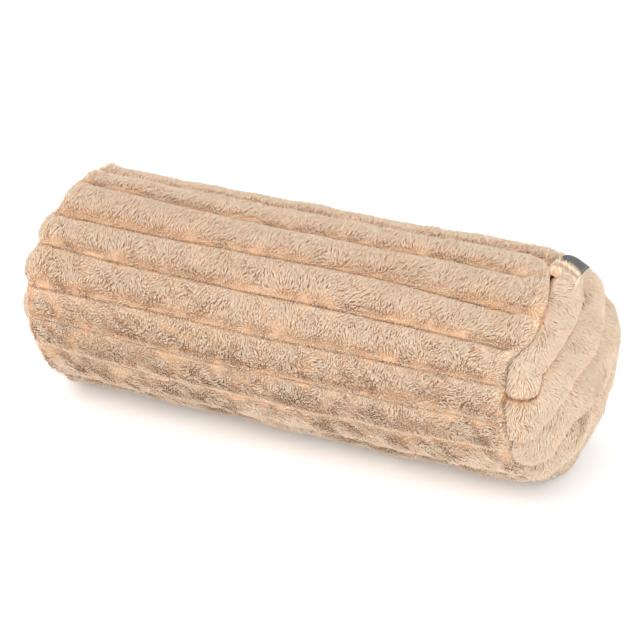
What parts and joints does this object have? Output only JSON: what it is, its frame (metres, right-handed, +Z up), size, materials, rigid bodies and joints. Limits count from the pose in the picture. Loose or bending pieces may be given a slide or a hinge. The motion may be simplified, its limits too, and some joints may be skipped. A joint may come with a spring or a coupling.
{
  "type": "bolster pillow",
  "caption": "Round bolster pillow with a ribbed plush cover, domed ends, a zip along the back seam and a filled inner pad.",
  "frame": {"origin": "on the ground, under the middle of the bolster", "axes": "+X along the bolster towards the end with the side label, +Y towards the zip at the back, +Z up"},
  "size_m": [0.52, 0.2, 0.1978],
  "materials": {
    "plush": "long soft pile, ribbed",
    "thread": "spun polyester thread",
    "label": "fine woven ribbon",
    "care_tape": "smooth satin tape",
    "pad_casing": "plain weave",
    "pad_thread": "spun polyester thread",
    "filling": "loose hollow fibre",
    "zip_tape": "herringbone woven tape",
    "zip_teeth": "moulded polyester",
    "zip_metal": "satin plated die-cast"
  },
  "bodies": {
    "pillow": {"cover_body_panel": "plush", "cover_end_panel_left": "plush", "cover_end_panel_right": "plush", "end_seam_thread_left": "thread", "end_seam_thread_right": "thread", "closing_seam_thread": "thread", "side_label": "label", "care_label": "care_tape", "pad_casing_tube": "pad_casing", "pad_casing_end_left": "pad_casing", "pad_casing_end_right": "pad_casing", "pad_seam_thread_left": "pad_thread", "pad_seam_thread_right": "pad_thread", "pad_closing_thread": "pad_thread", "fibre_filling": "filling", "zip_tape_upper": "zip_tape", "zip_tape_lower": "zip_tape", "zip_stitching_upper": "thread", "zip_stitching_lower": "thread", "zip_teeth_upper": "zip_teeth", "zip_teeth_lower": "zip_teeth", "zip_bottom_stop": "zip_metal", "zip_top_stops": "zip_metal"},
    "slider": {"zip_slider": "zip_metal"},
    "pull": {"zip_pull": "zip_metal"}
  },
  "joints": [
    {"name": "zip_slide", "type": "slide", "parent": "pillow", "child": "slider", "axis": [1, 0, 0], "range_m": [0, 0.33], "deforming": ["zip_teeth_upper", "zip_teeth_lower"]},
    {"name": "pull_hinge", "type": "hinge", "parent": "slider", "child": "pull", "pos_m": [-0.165, 0.0913, 0.095], "axis": [0, 0, 1], "range_deg": [0, 165]}
  ]
}
